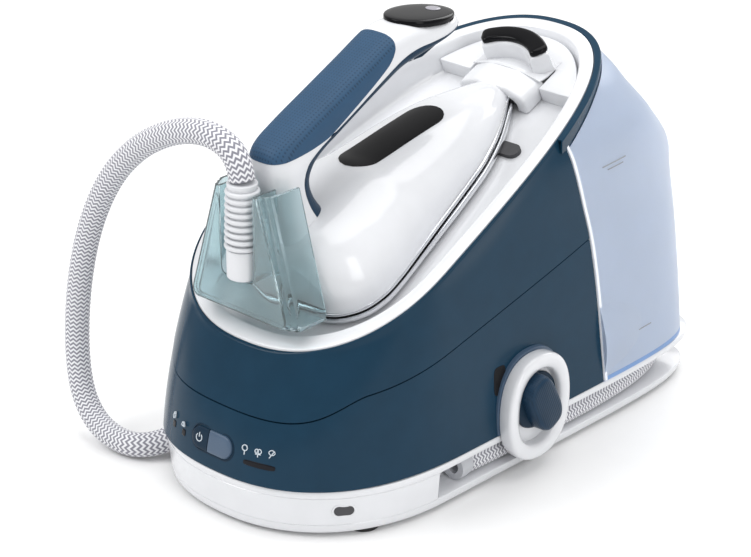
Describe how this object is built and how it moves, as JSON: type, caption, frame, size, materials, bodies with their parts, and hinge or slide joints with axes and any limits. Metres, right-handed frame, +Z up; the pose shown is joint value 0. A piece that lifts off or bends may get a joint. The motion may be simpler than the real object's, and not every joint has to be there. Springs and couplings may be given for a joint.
{
  "type": "steam generator iron",
  "caption": "Steam generator iron: a hand iron parked on a sloping station with a rear water tank, side descaling knob, hose groove and woven steam hose.",
  "frame": {"origin": "centre of the base's length and width on the surface that the feet stand on", "axes": "+Z up; the control panel faces -Y, the tank is at +Y, the descaling knob is on +X"},
  "size_m": [0.2969, 0.4243, 0.3089],
  "materials": {
    "white_gloss": "glossy white moulding",
    "white_matte": "satin white moulding",
    "navy_gloss": "glossy dark blue moulding",
    "navy_matte": "matt dark blue moulding",
    "navy_satin": "satin dark blue with a fine grip texture",
    "navy_soft": "soft-touch blue with fine dimples",
    "grey_blue": "satin grey blue",
    "grey_plastic": "plain moulding",
    "black_plastic": "heat-resistant black moulding",
    "black_gloss": "piano black",
    "smoked": "dark window",
    "lens_grey": "grey lens",
    "rubber_black": "matt",
    "rubber_grey": "matt",
    "silicone": "translucent silicone",
    "hose_weave": "woven sleeve with a grey and white chevron",
    "board_green": "circuit board",
    "polished_steel": "polished",
    "steel": "plated",
    "aluminium": "cast",
    "brass": "machined",
    "tank_blue": "frosted light blue clear plastic",
    "teal_clear": "clear teal plastic"
  },
  "bodies": {
    "station": {"base_tray": "white_gloss", "rubber_feet": "rubber_black", "base_screws": "steel", "chassis_plate": "grey_plastic", "mains_gland": "rubber_black", "hose_stored": "hose_weave", "hose_loop": "hose_weave", "hose_grommet": "rubber_grey", "lower_fascia": "navy_gloss", "upper_housing": "navy_gloss", "deck": "white_gloss", "deck_pads": "rubber_grey", "tank_dock": "grey_plastic", "tank_seal": "rubber_black", "knob_ring": "white_gloss", "knob_backing": "grey_blue", "filter_housing": "grey_plastic", "button_bezel": "navy_matte", "led_windows": "smoked", "indicator_strip": "smoked", "control_board": "board_green", "boiler": "aluminium", "boiler_bracket": "steel", "boiler_thermostat": "steel", "safety_valve": "brass", "steam_valve": "brass", "pump": "grey_plastic", "pump_mounts": "rubber_grey", "water_pipe": "silicone", "steam_pipe": "silicone"},
    "iron": {"hose_sleeve": "white_matte", "soleplate": "polished_steel", "heat_shield": "black_plastic", "heater_block": "aluminium", "iron_shell": "white_gloss", "body_window": "black_gloss", "handle_shell": "white_gloss", "grip_pad": "navy_soft", "handle_liner": "navy_matte", "handle_cap": "black_gloss", "cap_lens": "lens_grey", "trigger_pin": "steel", "trigger_spring": "steel", "trigger_switch": "black_plastic", "steam_connector": "brass", "iron_thermostat": "steel", "heel_stand": "teal_clear"},
    "trigger": {"steam_trigger": "navy_matte"},
    "lock": {"lock_carriage": "white_gloss", "lock_pad": "black_gloss"},
    "filter": {"filter_cartridge": "white_matte", "filter_seal": "rubber_black"},
    "knob": {"calc_knob": "navy_satin"},
    "power": {"power_button": "navy_matte"},
    "mode": {"mode_button": "grey_blue"},
    "tank": {"water_tank": "tank_blue", "lid_pin": "steel", "tank_valve": "white_matte"},
    "lid": {"tank_lid": "tank_blue"}
  },
  "joints": [
    {"name": "iron_lift", "type": "slide", "parent": "station", "child": "iron", "axis": [0, -0.976, 0.2176], "range_m": [0, 0.12], "deforming": ["hose_loop"]},
    {"name": "trigger_press", "type": "hinge", "parent": "iron", "child": "trigger", "pos_m": [0, -0.02751, 0.28267], "axis": [1, 0, 0], "range_deg": [0, 4.5], "stiffness_Nm_per_rad": 0.6, "springref_deg": -5.73, "deforming": ["trigger_spring"]},
    {"name": "lock_slide", "type": "slide", "parent": "station", "child": "lock", "axis": [0, 0.9114, 0.4115], "range_m": [0, 0.011]},
    {"name": "filter_pull", "type": "slide", "parent": "station", "child": "filter", "axis": [1, 0, 0], "range_m": [0, 0.075]},
    {"name": "knob_twist", "type": "hinge", "parent": "filter", "child": "knob", "pos_m": [0.12, -0.01, 0.055], "axis": [1, 0, 0], "range_deg": [0, 90]},
    {"name": "power_press", "type": "slide", "parent": "station", "child": "power", "axis": [0, 0.9703, -0.2419], "range_m": [0, 0.0014], "stiffness_N_per_m": 400, "springref_m": -0.001},
    {"name": "mode_press", "type": "slide", "parent": "station", "child": "mode", "axis": [0, 0.9703, -0.2419], "range_m": [0, 0.0014], "stiffness_N_per_m": 400, "springref_m": -0.001},
    {"name": "tank_pull", "type": "slide", "parent": "station", "child": "tank", "axis": [0, 1, 0], "range_m": [0, 0.15]},
    {"name": "tank_lid_swing", "type": "hinge", "parent": "tank", "child": "lid", "pos_m": [0, 0.17946, 0.20113], "axis": [-1, 0, 0], "range_deg": [0, 80]}
  ]
}
